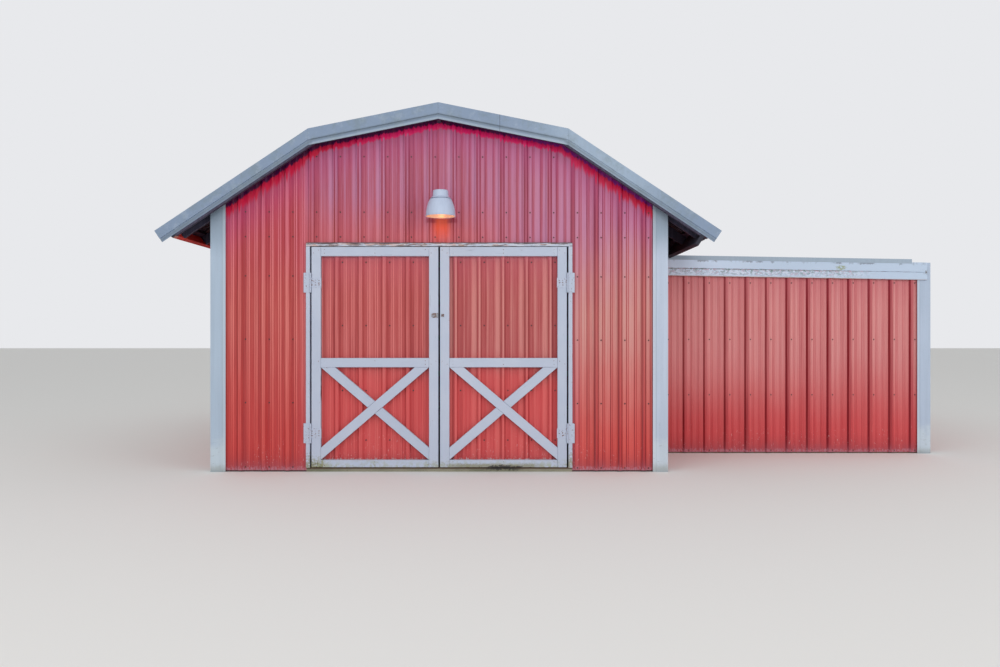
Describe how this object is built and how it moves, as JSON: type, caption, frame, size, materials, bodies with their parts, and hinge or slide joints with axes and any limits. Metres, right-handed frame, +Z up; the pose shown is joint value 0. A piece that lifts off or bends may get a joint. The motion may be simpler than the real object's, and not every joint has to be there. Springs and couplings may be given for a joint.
{
  "type": "red barn",
  "caption": "Small gambrel barn clad in ribbed red sheet metal, with swinging double doors braced with crosses, a light over them and a closed side lean-to.",
  "frame": {"origin": "on the ground under the middle of the floor slab", "axes": "+X to the right seen from the front, +Y from the doors into the building, +Z up"},
  "size_m": [8.0441, 6.6525, 3.5171],
  "materials": {
    "slab_concrete": "rough concrete",
    "frame_timber": "bare sawn softwood",
    "painted_wood": "weathered white paint",
    "eave_wood": "dark weathered wood",
    "siding_paint": "satin red, sun-faded",
    "door_paint": "satin red",
    "trim_paint": "satin pale grey",
    "roof_metal": "satin pale grey",
    "hinge_paint": "white paint over steel",
    "latch_steel": "dull zinc",
    "lamp_paint": "satin off-white",
    "bulb_glass": "warm frosted glass"
  },
  "bodies": {
    "root": {"floor_slab": "slab_concrete", "wall_posts": "frame_timber", "wall_girts": "frame_timber", "top_plates": "frame_timber", "door_jambs": "painted_wood", "door_head": "painted_wood", "front_siding_left": "siding_paint", "front_siding_right": "siding_paint", "front_siding_top": "siding_paint", "back_siding": "siding_paint", "left_siding": "siding_paint", "right_siding": "siding_paint", "corner_trims": "trim_paint", "lower_rafters": "frame_timber", "upper_rafters": "frame_timber", "ridge_board": "frame_timber", "roof_purlins": "frame_timber", "lower_roof_sheets": "roof_metal", "upper_roof_sheets": "roof_metal", "ridge_cap": "trim_paint", "knee_flashings": "trim_paint", "rake_trims": "trim_paint", "eave_boards": "eave_wood", "light_housing": "lamp_paint", "light_shade": "lamp_paint", "light_bulb": "bulb_glass", "lean_to_posts": "frame_timber", "lean_to_girts": "frame_timber", "lean_to_joists": "frame_timber", "lean_to_roof": "roof_metal", "lean_to_front_siding": "siding_paint", "lean_to_side_siding": "siding_paint", "lean_to_back_siding": "siding_paint", "lean_to_corner_trims": "trim_paint", "lean_to_fascia_boards": "painted_wood", "lean_to_roof_edge": "trim_paint", "hinge_plates": "hinge_paint"},
    "left_door": {"left_door_sheet": "door_paint", "left_door_boards": "painted_wood", "left_door_straps": "hinge_paint", "left_door_hasp": "hinge_paint"},
    "right_door": {"right_door_sheet": "door_paint", "right_door_boards": "painted_wood", "right_door_straps": "hinge_paint", "right_door_staple": "latch_steel"}
  },
  "joints": [
    {"name": "left_door_swing", "type": "hinge", "parent": "root", "child": "left_door", "pos_m": [-1.235, -3.086, 0], "axis": [0, 0, -1], "range_deg": [0, 170]},
    {"name": "right_door_swing", "type": "hinge", "parent": "root", "child": "right_door", "pos_m": [1.235, -3.086, 0], "axis": [0, 0, 1], "range_deg": [0, 170]}
  ]
}
